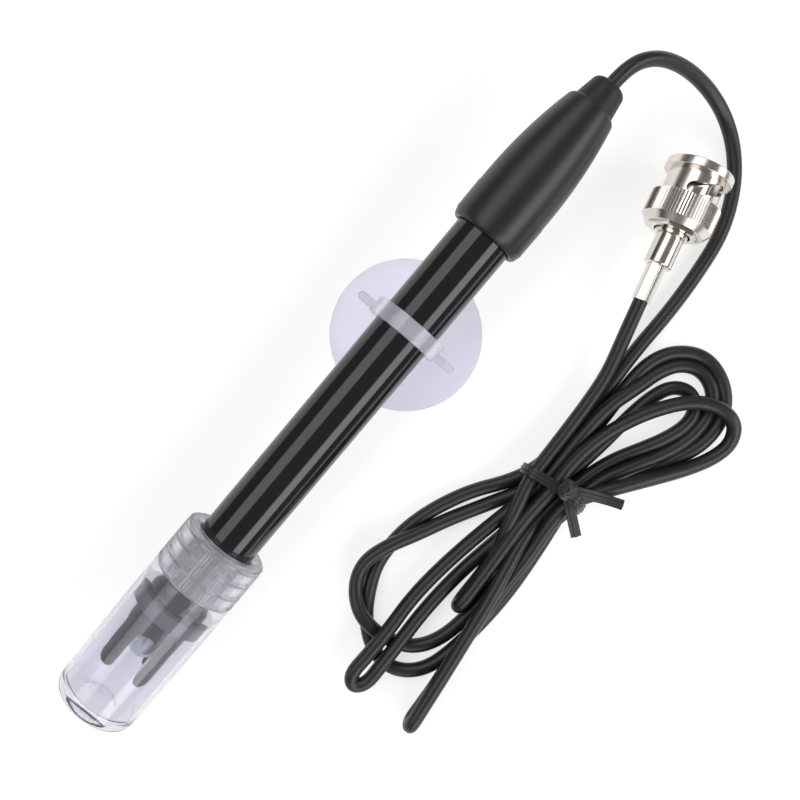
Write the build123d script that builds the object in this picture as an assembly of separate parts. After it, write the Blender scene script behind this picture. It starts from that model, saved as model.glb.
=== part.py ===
from build123d import *
import os
from math import asin, atan2, cos, degrees, hypot, pi, radians, sin, tan

# A combination pH electrode, lying on its side with the tip in its storage bottle.
# A ring clip on a suction cup holds the handle end up.
# The lead is tied in a hank beside it and ends in a bayonet coax plug.
# Millimetres, +Z up, floor at z = 0.
# Stations along the electrode are counted from the bottle's bottom face.

# Shaft and tip guard
SHAFT_D = 12.0
SHAFT_WALL = 1.2
TIP_STATION = 10.7
GUARD_LENGTH = 13.0
GUARD_SLOT_W = 4.8
GUARD_SLOT_DEPTH = 10.0
GUARD_TIP_ROUND = 1.8
GUARD_SPIGOT = 4.0
GUARD_SLOT_TURN = 8.3
CAP_TO_HANDLE = 76.9
SHAFT_INSERT = 6.0

# Glass half cell and reference half cell
BULB_D = 6.8
BULB_WALL = 0.4
BULB_RECESS = 3.1
STEM_D = 5.2
STEM_WALL = 0.5
STEM_LENGTH = 62.0
TIP_PLUG_LENGTH = 3.0
JUNCTION_D = 1.0
WIRE_D = 0.6
WIRE_TIP_GAP = 2.2
REFERENCE_LENGTH = 60.0
REFERENCE_OFFSET = 3.8
TOP_PLUG_LENGTH = 5.0

# Handle, boot and the lead's inner end
COLLAR_LENGTH = 7.9
COLLAR_RIM_D = 14.6
COLLAR_D = 15.6
COLLAR_LEAD_IN = 1.6
COLLAR_SPIGOT = 5.0
SHELL_D = 15.4
SHELL_WALL = 1.5
SHELL_STRAIGHT = 2.0
SHELL_TAPER = 21.5
SHELL_BORE_STRAIGHT = 5.5
SHELL_END_D = 10.4
SHELL_END_ROUND = 0.8
BOOT_BASE_D = 8.8
BOOT_END_D = 6.8
BOOT_LENGTH = 5.5
BOOT_END_ROUND = 1.2
BOOT_NECK_D = 6.2
BOOT_FLANGE_D = 7.8
BOOT_FLANGE_T = 1.8
LEAD_D = 3.0
LEAD_INNER_LENGTH = 16.0

# Storage bottle, its seals and its screw cap
BOTTLE_D = 17.7
BOTTLE_DRAFT = 0.2
BOTTLE_CORNER = 2.4
BOTTLE_BORE_D = 16.0
BOTTLE_FLOOR = 2.5
BOTTLE_FLOOR_ROUND = 1.6
BOTTLE_RECESS_D = 10.0
BOTTLE_RECESS_DEPTH = 0.7
BOTTLE_BODY_LENGTH = 32.7
NECK_LENGTH = 7.4
NECK_WALL = 1.2
SEAL_INSET = 5.3
SEAL_LENGTH = 3.0
CAP_D = 18.1
CAP_WALL = 0.9
CAP_LENGTH = 10.5
CAP_TOP = 1.3
CAP_HOLE_GAP = 0.5
CAP_LIP = 0.4
CAP_BAND_PITCH = 3.1
CAP_BAND_HEIGHT = 2.45
CAP_BANDS = 3
CAP_GROOVE = 0.3
CAP_RIBS = 84
CAP_RIB_DEPTH = 0.22
CAP_RIM_BEVEL = 0.5
O_RING_D = 1.5

# Ring clip and suction cup
CLIP_STATION = 97.4
CLIP_WIDTH = 3.5
CLIP_WALL = 1.6
CLIP_AXIS_HEIGHT = 14.9
CLIP_BAR_LENGTH = 24.8
CLIP_BAR_WIDTH = 1.8
CLIP_BAR_THICK = 1.5
CLIP_NUB_HEIGHT = 0.7
CLIP_NUB_INSET = 1.5
BOSS_D = 9.6
CUP_D = 32.0
CUP_LIP = 0.7
CUP_DOME = 2.9
CUP_HOLLOW = 1.4
CUP_NECK_D = 5.2
CUP_NECK_HEIGHT = 4.3
KNOB_D = 6.8
KNOB_THICK = 1.3
KNOB_GAP = 0.2

# Bayonet coax plug, stations counted from the ferrule's cable end
PLUG_X = 54.3
PLUG_Y = -32.0
PLUG_TURN = 15.4
HEX_FLATS = 3.5
HEX_LENGTH = 7.8
SLEEVE_D = 5.7
SLEEVE_LENGTH = 6.4
SLEEVE_WALL = 0.5
PLUG_BOSS_D = 7.0
PLUG_BOSS_LENGTH = 0.8
PLUG_NUT_FLATS = 9.6
SHELL_START = 15.6
KNURL_D = 14.5
KNURL_LENGTH = 4.8
KNURL_RIBS = 76
KNURL_DEPTH = 0.2
KNURL_LEAD = 1.4
KNURL_END_D = 12.2
NECK_D = 11.4
COUPLING_NECK = 5.4
FLANGE_D = 14.0
FLANGE_T = 1.85
COUPLING_BORE_D = 9.9
COUPLING_CHAMBER_D = 11.4
COUPLING_REAR_WALL = 1.5
BODY_D = 7.6
BODY_FLANGE_T = 1.2
CONTACT_D = 8.05
CONTACT_WALL = 0.55
CONTACT_RECESS = 0.8
CONTACT_SEAT_D = 8.6
CONTACT_SLITS = 4
CONTACT_SLIT_W = 0.4
CONTACT_SLIT_LENGTH = 4.6
PIN_D = 1.35
PIN_RECESS = 2.6
INSULATOR_LENGTH = 6.0
GASKET_LENGTH = 1.4
SPRING_T = 0.35
BAYONET_W = 2.3
BAYONET_HOLE_D = 2.9
BAYONET_SPAN = 5.6
BAYONET_RISE = 2.2
BAYONET_TURN = 24.0
BAYONET_FRONT_GAP = 1.7
BAYONET_GROOVE_D = 10.8

# Hank and twist tie
HANK_HEIGHT = 6.4
TIE_X = 14.0
TIE_WIDTH = 2.0
TIE_THICK = 0.5
TIE_GAP = 0.1
TIE_SLACK = 1.2
KNOT_SIZE = 3.4
KNOT_HEIGHT = 2.2
TIE_TAIL_LONG = 12.7
TIE_TAIL_SHORT = 10.0

# Clearances
GLUE_GAP = 0.03
SLIDE_GAP = 0.06
RUN_GAP = 0.15
SEAT_GAP = 0.02

# Stations that follow from the sizes above
SHAFT_R = SHAFT_D / 2
SHAFT_BORE_R = SHAFT_R - SHAFT_WALL
GUARD_TOP = TIP_STATION + GUARD_LENGTH
CAP_START = BOTTLE_BODY_LENGTH
CAP_END = CAP_START + CAP_LENGTH
SEAL_END = CAP_START - SEAL_INSET
SEAL_START = SEAL_END - SEAL_LENGTH
COLLAR_START = CAP_END + CAP_TO_HANDLE
SEAM = COLLAR_START + COLLAR_LENGTH
SHOULDER = SEAM + SHELL_STRAIGHT + SHELL_TAPER
BOOT_TIP = SHOULDER + BOOT_LENGTH
SHAFT_TOP = COLLAR_START + SHAFT_INSERT

# The lean of the electrode: its bottle's lower corner is on the floor and the clip holds it up.
CORNER_R = BOTTLE_D / 2 - BOTTLE_CORNER
REACH = hypot(CLIP_STATION - BOTTLE_CORNER, CORNER_R)
LEAN = asin((CLIP_AXIS_HEIGHT - BOTTLE_CORNER) / REACH) - atan2(CORNER_R, CLIP_STATION - BOTTLE_CORNER)
BASE_Z = BOTTLE_CORNER + CORNER_R * cos(LEAN) - BOTTLE_CORNER * sin(LEAN)
BASE_X = -(BOOT_TIP * cos(LEAN) - (CORNER_R - BOOT_END_D / 2 + BOOT_END_ROUND) * sin(LEAN)) / 2
CLIP_X = BASE_X + CLIP_STATION * cos(LEAN)

ELECTRODE = Pos(BASE_X, 0, BASE_Z) * Rot(0, -degrees(LEAN), 0)
PLUG_R = KNURL_D / 2
PLUG = Pos(PLUG_X, PLUG_Y, PLUG_R) * Rot(0, 0, PLUG_TURN)


def turned(*points, rounds=()):
    """Turns a closed outline of (station, radius) points about the X axis, its corners rounded first."""
    face = make_face(Polyline(*points, close=True))
    for x, y, radius in rounds:
        corner = face.vertices().sort_by_distance((x, y, 0))[0]
        face = fillet(corner, radius)
    return revolve(face, Axis.X)


def tube(start, end, outer_r, inner_r):
    """A plain tube between two stations."""
    return turned((start, inner_r), (end, inner_r), (end, outer_r), (start, outer_r))


def rod(start, end, radius):
    """A plain rod between two stations."""
    return turned((start, 0), (end, 0), (end, radius), (start, radius))


def ribbed_disc(start, length, radius, depth, count):
    """A disc with straight ribs along its axis."""
    ring = []
    for i in range(count):
        top = 2 * pi * i / count
        root = top + pi / count
        ring.append((radius * cos(top), radius * sin(top)))
        ring.append(((radius - depth) * cos(root), (radius - depth) * sin(root)))
    face = Plane.YZ * make_face(Polyline(*ring, close=True))
    return Pos(start, 0, 0) * extrude(face, amount=length)


def hex_bar(start, length, flats):
    """A hexagonal bar, with one flat on top."""
    face = Plane.YZ * RegularPolygon(flats / 2, 6, major_radius=False)
    return Pos(start, 0, 0) * extrude(face, amount=length)


# Electrode body

def make_shaft_tube():
    return tube(GUARD_TOP, SHAFT_TOP, SHAFT_R, SHAFT_BORE_R)


def guard_slot():
    """Outline of one U slot with a round closed end, whose mouth rounds the prongs beside it."""
    half = GUARD_SLOT_W / 2
    flare = half + GUARD_TIP_ROUND
    near = TIP_STATION
    bend = GUARD_TIP_ROUND * (1 - cos(pi / 4))
    closed = TIP_STATION + GUARD_SLOT_DEPTH
    with BuildSketch() as sketch:
        with BuildLine():
            Polyline((near + GUARD_TIP_ROUND, half), (closed - half, half))
            ThreePointArc((closed - half, half), (closed, 0), (closed - half, -half))
            Polyline((closed - half, -half), (near + GUARD_TIP_ROUND, -half))
            ThreePointArc((near + GUARD_TIP_ROUND, -half), (near + bend, -half - bend), (near, -flare))
            Polyline((near, -flare), (near - 1, -flare), (near - 1, flare), (near, flare))
            ThreePointArc((near, flare), (near + bend, half + bend), (near + GUARD_TIP_ROUND, half))
        make_face()
    return sketch.sketch


def make_tip_guard():
    spigot_r = SHAFT_BORE_R - GLUE_GAP
    bore_r = spigot_r - 1.0
    guard = turned(
        (TIP_STATION, bore_r),
        (GUARD_TOP + GUARD_SPIGOT, bore_r),
        (GUARD_TOP + GUARD_SPIGOT, spigot_r),
        (GUARD_TOP, spigot_r),
        (GUARD_TOP, SHAFT_R),
        (TIP_STATION, SHAFT_R),
    )
    cutter = extrude(guard_slot(), amount=SHAFT_R + 1, both=True)
    guard -= Rot(GUARD_SLOT_TURN, 0, 0) * cutter
    guard -= Rot(GUARD_SLOT_TURN + 90, 0, 0) * cutter
    return guard


def make_glass_membrane():
    """The blown glass bulb and its stem, one hollow piece closed at the bulb."""
    centre = TIP_STATION + BULB_RECESS + BULB_D / 2
    top = TIP_STATION + STEM_LENGTH
    outer = Pos(centre, 0, 0) * Sphere(BULB_D / 2) + rod(centre, top, STEM_D / 2)
    inner = Pos(centre, 0, 0) * Sphere(BULB_D / 2 - BULB_WALL) + rod(centre, top, STEM_D / 2 - STEM_WALL)
    return outer - inner


def make_tip_plug():
    """The seal that holds the glass stem in the guard, with a hole for the junction."""
    start = GUARD_TOP
    plug = tube(start, start + TIP_PLUG_LENGTH, SHAFT_BORE_R - 1.0 - 2 * GLUE_GAP, STEM_D / 2 + SEAT_GAP)
    return plug - junction_bar(JUNCTION_D / 2 + SEAT_GAP)


def junction_bar(radius):
    middle = (STEM_D / 2 + SHAFT_BORE_R - 1.0) / 2
    return Pos(0, 0, middle) * rod(GUARD_TOP, GUARD_TOP + TIP_PLUG_LENGTH, radius)


def make_inner_wire():
    start = TIP_STATION + BULB_RECESS + WIRE_TIP_GAP
    return rod(start, BOOT_TIP - LEAD_INNER_LENGTH, WIRE_D / 2)


def make_reference_wire():
    bar = rod(TIP_STATION + REFERENCE_LENGTH, SHAFT_TOP + 3, WIRE_D / 2)
    return Pos(0, 0, REFERENCE_OFFSET) * bar


def make_top_plug():
    """The cast seal in the shaft's upper end, which holds the two wires."""
    start = SHAFT_TOP - TOP_PLUG_LENGTH
    plug = rod(start, SHAFT_TOP, SHAFT_BORE_R - GLUE_GAP)
    plug -= rod(start, SHAFT_TOP, WIRE_D / 2 + SEAT_GAP)
    plug -= Pos(0, 0, REFERENCE_OFFSET) * rod(start, SHAFT_TOP, WIRE_D / 2 + SEAT_GAP)
    return plug


def make_stem_holder():
    """The disc that centres the glass stem's open end in the shaft."""
    end = TIP_STATION + STEM_LENGTH
    disc = tube(end - 2.5, end - 0.5, SHAFT_BORE_R - GLUE_GAP, STEM_D / 2 + SEAT_GAP)
    notch = Pos(0, 0, REFERENCE_OFFSET) * rod(end - 2.5, end - 0.5, WIRE_D / 2 + SEAT_GAP)
    return disc - notch


# Handle

def make_handle_collar():
    bore_r = SHAFT_R + GLUE_GAP
    spigot_r = SHELL_D / 2 - SHELL_WALL - GLUE_GAP
    return turned(
        (COLLAR_START, bore_r + 0.4),
        (COLLAR_START + 0.6, bore_r),
        (SEAM + COLLAR_SPIGOT - 1, bore_r),
        (SEAM + COLLAR_SPIGOT, spigot_r - 0.15),
        (SEAM + COLLAR_SPIGOT, spigot_r),
        (SEAM, spigot_r),
        (SEAM, COLLAR_D / 2),
        (COLLAR_START + COLLAR_LEAD_IN, COLLAR_D / 2 - 0.05),
        (COLLAR_START + 0.3, COLLAR_RIM_D / 2),
        (COLLAR_START, COLLAR_RIM_D / 2 - 0.3),
    )


def ogive(start, straight, taper, radius, end_radius):
    """A face under a line that runs straight and then bends in as one large arc, tangent to it."""
    fall = radius - end_radius
    bend = (taper ** 2 + fall ** 2) / (2 * fall)
    turn = start + straight
    middle = radius - bend + (bend ** 2 - (taper / 2) ** 2) ** 0.5
    with BuildSketch() as sketch:
        with BuildLine():
            Polyline((turn + taper, end_radius), (turn + taper, 0), (start, 0), (start, radius), (turn, radius))
            ThreePointArc((turn, radius), (turn + taper / 2, middle), (turn + taper, end_radius))
        make_face()
    return sketch.sketch


def make_handle_shell():
    end_r = SHELL_END_D / 2
    outer_face = ogive(SEAM, SHELL_STRAIGHT, SHELL_TAPER, SHELL_D / 2, end_r)
    corner = outer_face.vertices().sort_by_distance((SHOULDER, end_r, 0))[0]
    outer = revolve(fillet(corner, SHELL_END_ROUND), Axis.X)
    inner_taper = SHOULDER - SHELL_WALL - SEAM - SHELL_BORE_STRAIGHT
    inner_r = SHELL_D / 2 - SHELL_WALL
    inner = revolve(ogive(SEAM, SHELL_BORE_STRAIGHT, inner_taper, inner_r, end_r - SHELL_WALL * 0.75), Axis.X)
    mouth = rod(SEAM, SHOULDER + 1, BOOT_NECK_D / 2 + GLUE_GAP)
    return outer - inner - mouth


def make_cable_boot():
    """The rubber boot, which sits in the shell's mouth on a neck and an inner flange."""
    neck_r = BOOT_NECK_D / 2
    front = SHOULDER + GLUE_GAP
    inside = SHOULDER - SHELL_WALL - GLUE_GAP
    back = inside - BOOT_FLANGE_T
    return turned(
        (back, LEAD_D / 2 + SEAT_GAP),
        (BOOT_TIP, LEAD_D / 2 + SEAT_GAP),
        (BOOT_TIP, BOOT_END_D / 2),
        (front, BOOT_BASE_D / 2),
        (front, neck_r),
        (inside, neck_r),
        (inside, BOOT_FLANGE_D / 2),
        (back, BOOT_FLANGE_D / 2),
        rounds=[(BOOT_TIP, BOOT_END_D / 2, BOOT_END_ROUND)],
    )


def make_lead_inner_end():
    """The lead's inner end, from the wires to the mouth of the boot."""
    return rod(BOOT_TIP - LEAD_INNER_LENGTH, BOOT_TIP, LEAD_D / 2)


# Storage bottle

def make_bottle_body():
    foot_r = BOTTLE_D / 2
    top_r = foot_r + BOTTLE_DRAFT
    bore_r = BOTTLE_BORE_D / 2
    neck_r = CAP_D / 2 - CAP_WALL - RUN_GAP
    mouth_r = neck_r - NECK_WALL
    neck_end = CAP_START + NECK_LENGTH
    body = turned(
        (0, 0),
        (0, foot_r),
        (CAP_START - SLIDE_GAP, top_r),
        (CAP_START - SLIDE_GAP, neck_r),
        (neck_end, neck_r),
        (neck_end, mouth_r),
        (CAP_START - 2, mouth_r),
        (CAP_START - 4, bore_r),
        (BOTTLE_FLOOR, bore_r),
        (BOTTLE_FLOOR, 0),
        rounds=[(0, foot_r, BOTTLE_CORNER), (BOTTLE_FLOOR, bore_r, BOTTLE_FLOOR_ROUND)],
    )
    recess_r = BOTTLE_RECESS_D / 2
    dish = (recess_r ** 2 + BOTTLE_RECESS_DEPTH ** 2) / (2 * BOTTLE_RECESS_DEPTH)
    return body - Pos(BOTTLE_RECESS_DEPTH - dish, 0, 0) * Sphere(dish)


def make_bottle_seal():
    """The soft ring that fills the bottle's bore round the shaft."""
    inner_r = SHAFT_R + SLIDE_GAP
    outer_r = BOTTLE_BORE_D / 2 - SLIDE_GAP
    return turned(
        (SEAL_START, inner_r),
        (SEAL_END, inner_r),
        (SEAL_END, outer_r),
        (SEAL_START, outer_r),
        rounds=[(SEAL_START, outer_r, 0.4), (SEAL_END, outer_r, 0.4)],
    )


def make_bottle_cap():
    """The screw cap: three ribbed bands between plain grooves, and a ribbed top rim."""
    outer_r = CAP_D / 2
    groove_r = outer_r - CAP_GROOVE
    hole_r = SHAFT_R + CAP_HOLE_GAP
    cap = turned(
        (CAP_START, 0),
        (CAP_START, outer_r - 0.05),
        (CAP_START + CAP_LIP, outer_r - 0.05),
        (CAP_START + CAP_LIP, groove_r),
        (CAP_END - CAP_RIM_BEVEL, groove_r),
        (CAP_END, groove_r - CAP_RIM_BEVEL),
        (CAP_END, 0),
    )
    first = CAP_START + CAP_LIP
    for i in range(CAP_BANDS):
        start = first + i * CAP_BAND_PITCH
        cap += ribbed_disc(start, CAP_BAND_HEIGHT, outer_r, CAP_RIB_DEPTH, CAP_RIBS)
    rim_start = first + CAP_BANDS * CAP_BAND_PITCH - 0.25
    rim_end = CAP_END - CAP_RIM_BEVEL
    if rim_end > rim_start:
        cap += ribbed_disc(rim_start, rim_end - rim_start, outer_r - 0.1, CAP_RIB_DEPTH, CAP_RIBS)
    cap -= rod(CAP_START, CAP_END - CAP_TOP, outer_r - CAP_WALL)
    cap -= rod(CAP_START, CAP_END, hole_r)
    bevel = turned((CAP_END - 0.5, 0), (CAP_END - 0.5, hole_r), (CAP_END, hole_r + 0.5), (CAP_END, 0))
    return cap - bevel


def make_cap_o_ring():
    """The ring squeezed between the bottle's mouth and the cap's top, round the shaft."""
    middle_r = SHAFT_R + SLIDE_GAP + O_RING_D / 2
    ring = Rot(0, 90, 0) * Torus(middle_r, O_RING_D / 2)
    return Pos(CAP_END - CAP_TOP - O_RING_D / 2 - SEAT_GAP, 0, 0) * ring


# Clip and cup, which stand upright on the floor

def make_clip_ring():
    bore_r = SHAFT_R + RUN_GAP + CLIP_WIDTH / 2 * tan(LEAN)
    outer_r = bore_r + CLIP_WALL
    ring = tube(-CLIP_WIDTH / 2, CLIP_WIDTH / 2, outer_r, bore_r)
    ring = Pos(0, 0, CLIP_AXIS_HEIGHT) * ring
    bar_top = CLIP_AXIS_HEIGHT - outer_r + 0.5
    bar_low = bar_top - CLIP_BAR_THICK
    bar_face = SlotOverall(CLIP_BAR_LENGTH, CLIP_BAR_WIDTH, rotation=90)
    bar = Pos(0, 0, bar_low) * extrude(bar_face, amount=CLIP_BAR_THICK)
    boss_low = CUP_NECK_HEIGHT
    web = Pos(0, 0, (bar_low + CLIP_AXIS_HEIGHT - bore_r - 0.4) / 2) * Box(
        CLIP_WIDTH, BOSS_D, CLIP_AXIS_HEIGHT - bore_r - 0.4 - bar_low)
    boss = Pos(0, 0, boss_low) * extrude(Circle(BOSS_D / 2), amount=bar_top - boss_low)
    clip = ring + bar + boss + web
    for side in (-1, 1):
        y = side * (CLIP_BAR_LENGTH / 2 - CLIP_NUB_INSET)
        clip += Pos(0, y, bar_top + CLIP_NUB_HEIGHT / 2 - 0.1) * Box(
            CLIP_BAR_WIDTH, 0.6, CLIP_NUB_HEIGHT + 0.2)
    knob_top = CUP_NECK_HEIGHT + 0.6 + KNOB_THICK
    clip -= Pos(0, 0, boss_low) * extrude(Circle(CUP_NECK_D / 2 + KNOB_GAP), amount=1.0)
    clip -= Pos(0, 0, CUP_NECK_HEIGHT + 0.6 - KNOB_GAP / 2) * extrude(
        Circle(KNOB_D / 2 + KNOB_GAP), amount=knob_top - CUP_NECK_HEIGHT - 0.6 + KNOB_GAP)
    clip -= Pos(0, 0, CLIP_AXIS_HEIGHT) * rod(-CLIP_WIDTH, CLIP_WIDTH, bore_r)
    return clip


def make_suction_cup():
    """A domed disc with a thin lip, hollow underneath, with a headed knob on top."""
    lip_r = CUP_D / 2
    neck_r = CUP_NECK_D / 2
    head = CUP_NECK_HEIGHT + 0.6
    with BuildSketch() as sketch:
        with BuildLine():
            Polyline((lip_r - 1.2, 0), (lip_r, 0), (lip_r, CUP_LIP))
            Spline((lip_r, CUP_LIP), (lip_r * 0.62, CUP_LIP + 0.75), (neck_r + 1.2, CUP_DOME))
            Polyline(
                (neck_r + 1.2, CUP_DOME),
                (neck_r, CUP_DOME + 0.6),
                (neck_r, head),
                (KNOB_D / 2, head),
                (KNOB_D / 2, head + KNOB_THICK * 0.5),
                (KNOB_D / 2 - 0.6, head + KNOB_THICK),
                (0, head + KNOB_THICK),
                (0, CUP_HOLLOW),
            )
            Spline((0, CUP_HOLLOW), (lip_r * 0.55, CUP_HOLLOW * 0.55), (lip_r - 1.2, 0), tangents=[(1, 0), (1, -0.1)])
        make_face()
    face = Rot(90, 0, 0) * sketch.sketch
    return revolve(face, Axis.Z)


# Bayonet coax plug

SLEEVE_END = HEX_LENGTH + SLEEVE_LENGTH
KNURL_START = SHELL_START + KNURL_LEAD
KNURL_END = KNURL_START + KNURL_LENGTH
FLANGE_START = KNURL_END + COUPLING_NECK
PLUG_END = FLANGE_START + FLANGE_T
CHAMBER_START = SHELL_START + COUPLING_REAR_WALL
BODY_FLANGE_START = CHAMBER_START + SPRING_T + 2 * SEAT_GAP
BODY_FLANGE_END = BODY_FLANGE_START + BODY_FLANGE_T
CONTACT_END = PLUG_END - CONTACT_RECESS
CONTACT_SEAT_END = BODY_FLANGE_END + GASKET_LENGTH + 2 * SEAT_GAP
INSULATOR_START = BODY_FLANGE_START


def make_crimp_ferrule():
    ferrule = hex_bar(0, HEX_LENGTH + 0.3, HEX_FLATS)
    ferrule += turned(
        (HEX_LENGTH, 0),
        (HEX_LENGTH, SLEEVE_D / 2),
        (SLEEVE_END, SLEEVE_D / 2),
        (SLEEVE_END, 0),
        rounds=[(HEX_LENGTH, SLEEVE_D / 2, 0.3)],
    )
    ferrule -= rod(0, HEX_LENGTH + 1, LEAD_D / 2 + SEAT_GAP)
    return ferrule - rod(HEX_LENGTH + 1, SLEEVE_END, SLEEVE_D / 2 - SLEEVE_WALL)


def make_plug_lead_end():
    """The lead's outer end, held in the crimped ferrule."""
    return rod(0, HEX_LENGTH + 0.9, LEAD_D / 2)


def make_plug_body():
    """Stem, rear nut, retaining flange and outer contact, turned as one piece."""
    stem_r = SLEEVE_D / 2 - SLEEVE_WALL - SEAT_GAP
    contact_r = CONTACT_D / 2
    body = turned(
        (HEX_LENGTH + 1.2, PIN_D / 2 + 0.3),
        (INSULATOR_START, PIN_D / 2 + 0.3),
        (INSULATOR_START, contact_r - CONTACT_WALL),
        (CONTACT_END, contact_r - CONTACT_WALL),
        (CONTACT_END, contact_r - 0.2),
        (CONTACT_END - 0.4, contact_r),
        (CONTACT_SEAT_END, contact_r),
        (CONTACT_SEAT_END, CONTACT_SEAT_D / 2),
        (BODY_FLANGE_END, CONTACT_SEAT_D / 2),
        (BODY_FLANGE_END, COUPLING_CHAMBER_D / 2 - RUN_GAP),
        (BODY_FLANGE_START, COUPLING_CHAMBER_D / 2 - RUN_GAP),
        (BODY_FLANGE_START, BODY_D / 2),
        (SLEEVE_END + PLUG_BOSS_LENGTH, BODY_D / 2 - 0.6),
        (SLEEVE_END + PLUG_BOSS_LENGTH, PLUG_BOSS_D / 2),
        (SLEEVE_END + SEAT_GAP, PLUG_BOSS_D / 2),
        (SLEEVE_END + SEAT_GAP, stem_r),
        (HEX_LENGTH + 1.2, stem_r),
    )
    for i in range(CONTACT_SLITS):
        slit = Pos(CONTACT_END - CONTACT_SLIT_LENGTH / 2, 0, contact_r) * Box(
            CONTACT_SLIT_LENGTH, CONTACT_SLIT_W, 2 * CONTACT_WALL + 0.4)
        body -= Rot(45 + 360 / CONTACT_SLITS * i, 0, 0) * slit
    return body


def make_rear_nut():
    """The hexagonal nut behind the coupling, pressed on the body."""
    start = SLEEVE_END + PLUG_BOSS_LENGTH + SEAT_GAP
    end = SHELL_START - SEAT_GAP * 2
    nut = hex_bar(start, end - start, PLUG_NUT_FLATS)
    nut &= turned(
        (start, 0),
        (start, PLUG_NUT_FLATS / 2),
        (start + 0.4, PLUG_NUT_FLATS / 2 + 0.6),
        (end, PLUG_NUT_FLATS / 2 + 0.6),
        (end, 0),
    )
    return nut - rod(start, end, BODY_D / 2)


def make_plug_insulator():
    outer_r = CONTACT_D / 2 - CONTACT_WALL - SEAT_GAP
    start = INSULATOR_START + SEAT_GAP
    return tube(start, start + INSULATOR_LENGTH, outer_r, PIN_D / 2 + SEAT_GAP)


def make_centre_pin():
    end = PLUG_END - PIN_RECESS
    pin_r = PIN_D / 2
    return turned(
        (HEX_LENGTH + 1.0, 0),
        (end, 0),
        (end, pin_r * 0.45),
        (end - 0.9, pin_r),
        (HEX_LENGTH + 1.0, pin_r),
    )


def make_spring_washer():
    start = CHAMBER_START + SEAT_GAP
    return tube(start, start + SPRING_T, COUPLING_CHAMBER_D / 2 - RUN_GAP, BODY_D / 2 + SEAT_GAP)


def make_plug_gasket():
    """The soft ring at the root of the outer contact."""
    start = BODY_FLANGE_END + SEAT_GAP
    return tube(start, start + GASKET_LENGTH, COUPLING_BORE_D / 2 - RUN_GAP, CONTACT_SEAT_D / 2 + SEAT_GAP)


def bayonet_cutter():
    """One slanted slot with a round hole at its rear end, and the groove that leads to it from the mouth."""
    front_x = FLANGE_START - BAYONET_FRONT_GAP
    rear_x = front_x - BAYONET_RISE
    half = BAYONET_SPAN / 2
    length = hypot(BAYONET_SPAN, BAYONET_RISE)
    slant = degrees(atan2(-BAYONET_SPAN, BAYONET_RISE))
    slot = Pos((front_x + rear_x) / 2, 0, 0) * SlotCenterToCenter(length, BAYONET_W, rotation=slant)
    hole = Pos(rear_x, half, 0) * Circle(BAYONET_HOLE_D / 2)
    window = extrude(slot + hole, amount=NECK_D)
    groove_length = PLUG_END - front_x
    groove_floor = rod(front_x, PLUG_END, BAYONET_GROOVE_D / 2)
    groove = Pos((front_x + PLUG_END) / 2, 0, NECK_D / 2) * Box(groove_length, BAYONET_W, NECK_D)
    aim = degrees(asin(2 * half / NECK_D))
    return window + Rot(aim, 0, 0) * (groove & groove_floor)


def make_coupling_shell():
    """The coupling: ribbed ring, neck with two bayonet slots, and front flange."""
    knurl_r = KNURL_D / 2
    neck_r = NECK_D / 2
    flange_r = FLANGE_D / 2
    shell = turned(
        (SHELL_START, 0),
        (SHELL_START, KNURL_END_D / 2),
        (KNURL_START, knurl_r - KNURL_DEPTH),
        (KNURL_END, knurl_r - KNURL_DEPTH),
        (KNURL_END + 0.4, neck_r + 0.5),
        (KNURL_END + 0.4, neck_r),
        (FLANGE_START, neck_r),
        (FLANGE_START, flange_r),
        (PLUG_END, flange_r),
        (PLUG_END, 0),
        rounds=[(PLUG_END, flange_r, 0.3), (FLANGE_START, flange_r, 0.2)],
    )
    shell += ribbed_disc(KNURL_START, KNURL_LENGTH, knurl_r, KNURL_DEPTH, KNURL_RIBS)
    shell -= rod(SHELL_START, CHAMBER_START, BODY_D / 2 + RUN_GAP)
    shell -= rod(CHAMBER_START, BODY_FLANGE_END + GASKET_LENGTH + 0.4, COUPLING_CHAMBER_D / 2)
    shell -= rod(CHAMBER_START, PLUG_END, COUPLING_BORE_D / 2)
    shell -= turned(
        (PLUG_END - 0.5, 0),
        (PLUG_END - 0.5, COUPLING_BORE_D / 2),
        (PLUG_END, COUPLING_BORE_D / 2 + 0.5),
        (PLUG_END, 0),
    )
    for turn in (BAYONET_TURN, BAYONET_TURN + 180):
        shell -= Rot(turn, 0, 0) * bayonet_cutter()
    return shell


# The lead: stretches of tube at each end, and the closed outline of the hank between them

LEAD_R = LEAD_D / 2
BOOT_MOUTH = ELECTRODE * Pos(BOOT_TIP, 0, 0)
BOOT_OUT = ELECTRODE * Pos(BOOT_TIP + 4.8, 0, 0)
PLUG_MOUTH = PLUG * Pos(0, 0, 0)
PLUG_OUT = PLUG * Pos(-5.6, 0, 0)

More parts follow.
